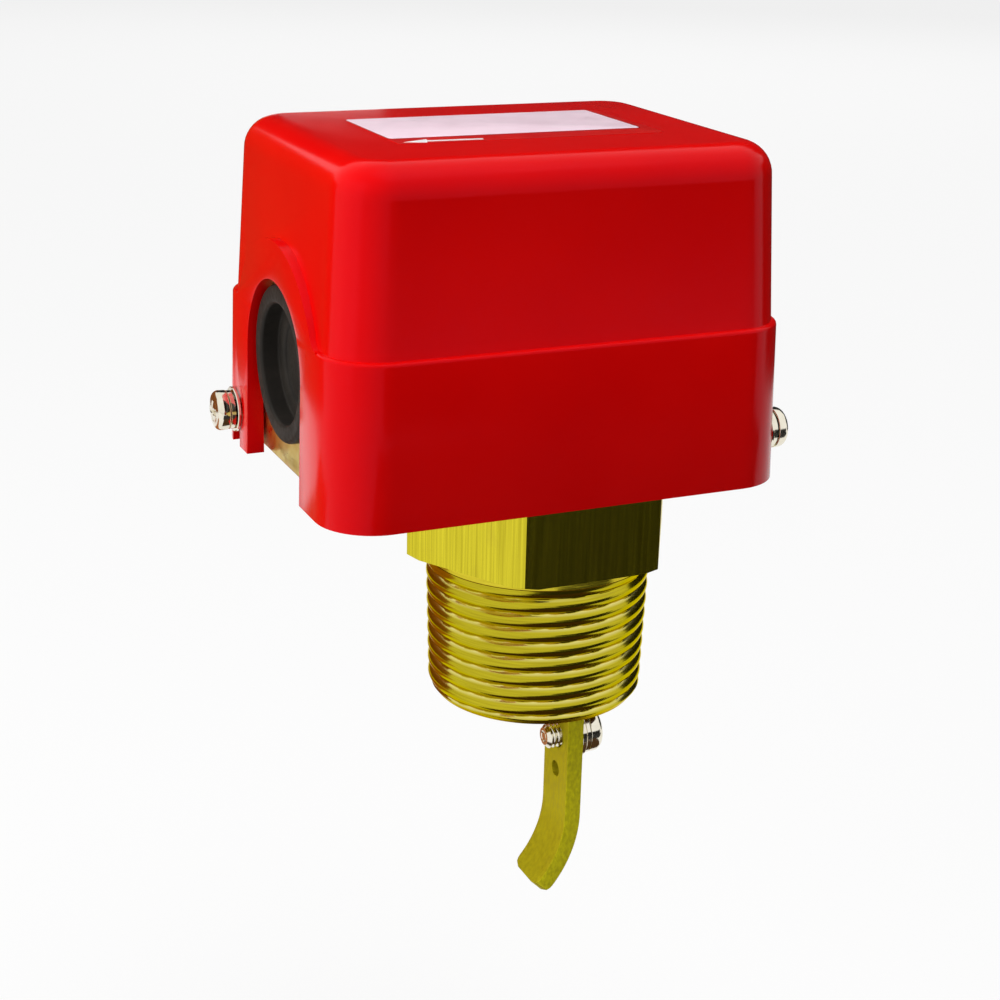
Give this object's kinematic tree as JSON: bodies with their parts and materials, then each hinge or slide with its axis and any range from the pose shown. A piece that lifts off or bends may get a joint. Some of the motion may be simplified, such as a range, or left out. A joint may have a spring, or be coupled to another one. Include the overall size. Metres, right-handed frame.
{
  "type": "paddle flow switch",
  "caption": "Pipe-mounted flow switch: a moulded housing over a hexagon brass body with a taper-thread shank, and a hanging lever that works a snap switch.",
  "frame": {"origin": "on the axis of the threaded shank, at the underside of the hexagon", "axes": "+Z along the shank's axis towards the housing's top, +X along the housing away from the cable entry, front of the housing towards -Y"},
  "size_m": [0.074, 0.052, 0.1192],
  "materials": {
    "cover_red": "glossy signal-red moulding with slight orange peel",
    "label_vinyl": "satin white film with a red flow band and a white arrow",
    "nickel_screw": "bright nickel plating",
    "black_rubber": "matt black rubber",
    "yellow_passivated_steel": "zinc plate with golden passivation",
    "brass": "turned and pressed yellow brass",
    "bronze": "thin formed bronze",
    "zinc_steel": "clear zinc-plated steel",
    "stainless_steel": "ground stainless steel",
    "spring_steel": "oiled spring steel",
    "black_phenolic": "black moulded phenolic",
    "red_nylon": "red nylon",
    "green_steel": "green-lacquered zinc steel"
  },
  "bodies": {
    "base": {"cover_screws": "nickel_screw", "cover_screw_spring_washers": "nickel_screw", "cover_screw_flat_washers": "nickel_screw", "cable_grommet": "black_rubber", "chassis": "yellow_passivated_steel", "brass_body": "brass", "body_screws": "zinc_steel", "bellows": "bronze", "pivot_bracket": "zinc_steel", "pivot_pin": "stainless_steel", "pivot_clips": "spring_steel", "switch_bracket": "zinc_steel", "switch_bracket_screws": "zinc_steel", "microswitch_case": "black_phenolic", "microswitch_screws": "zinc_steel", "terminal_plates": "brass", "terminal_screws": "zinc_steel", "earth_screw": "green_steel", "earth_washer": "brass", "range_bracket": "zinc_steel", "range_bracket_screws": "zinc_steel"},
    "cover": {"cover": "cover_red", "rating_label": "label_vinyl"},
    "lever": {"lever_rod": "brass", "paddle_arm": "brass", "arm_rivets": "brass", "paddle_screw": "nickel_screw", "paddle_screw_spring_washer": "nickel_screw", "paddle_screw_flat_washer": "nickel_screw", "switch_lever_plate": "zinc_steel", "lever_nut": "zinc_steel", "range_spring": "spring_steel"},
    "plunger": {"microswitch_plunger": "red_nylon"},
    "range_adjuster": {"range_spring_seat": "brass", "range_screw": "zinc_steel"}
  },
  "joints": [
    {"name": "lever_tilt", "type": "hinge", "parent": "base", "child": "lever", "pos_m": [0, 0, 0.0215], "axis": [0, 1, 0], "range_deg": [0, 6], "stiffness_Nm_per_rad": 0.4, "springref_deg": -8.59, "deforming": ["bellows", "range_spring"]},
    {"name": "plunger_press", "type": "slide", "parent": "base", "child": "plunger", "axis": [0, 0, 1], "range_m": [0, 0.00095]},
    {"name": "range_feed", "type": "slide", "parent": "base", "child": "range_adjuster", "axis": [0, 0, 1], "range_m": [-0.003, 0], "deforming": ["range_spring"]},
    {"name": "cover_lift", "type": "slide", "parent": "base", "child": "cover", "axis": [0, 0, 1], "range_m": [0, 0.05]}
  ],
  "couplings": [
    {"joint": "plunger_press", "follows": "lever_tilt", "m_per_rad": 0.009}
  ]
}
